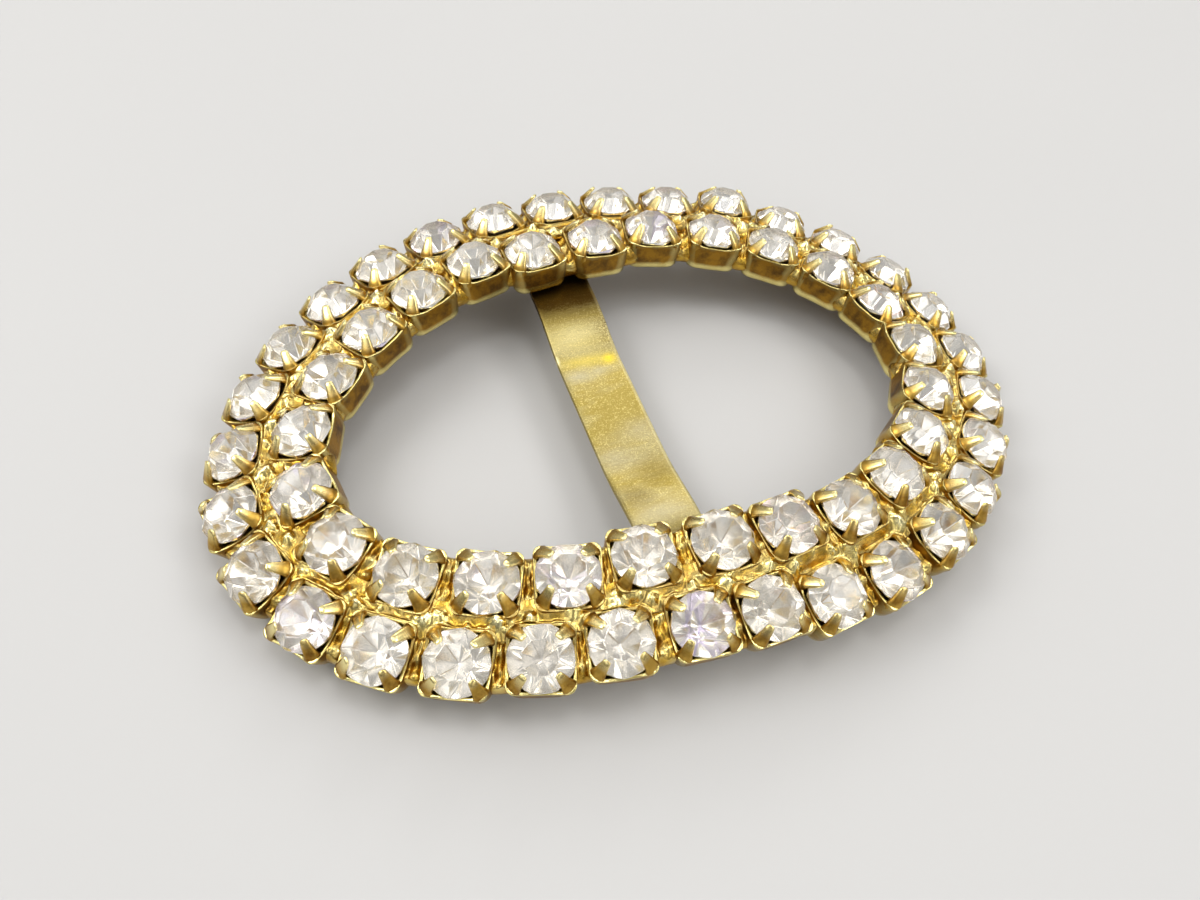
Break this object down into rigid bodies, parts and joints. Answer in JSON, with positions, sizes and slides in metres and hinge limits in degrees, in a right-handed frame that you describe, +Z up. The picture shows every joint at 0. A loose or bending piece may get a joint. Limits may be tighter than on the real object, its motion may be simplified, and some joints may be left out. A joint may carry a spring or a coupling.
{
  "type": "sash buckle",
  "caption": "Domed oval buckle with two rows of prong-set round stones and a flat sagging bar across the back that a fabric sash folds round.",
  "frame": {"origin": "bottom centre of the box round the buckle, between its two ends on the surface it lies on", "axes": "+X along the oval's length, +Y across it, along the bar, +Z up through the stones' faces"},
  "size_m": [0.0612, 0.0436, 0.0084],
  "materials": {
    "gilt_brass": "worn gilt",
    "clear_stone": "cut and polished, foil backed"
  },
  "bodies": {
    "root": {"setting_frame": "gilt_brass", "outer_stones": "clear_stone", "inner_stones": "clear_stone"}
  },
  "joints": []
}
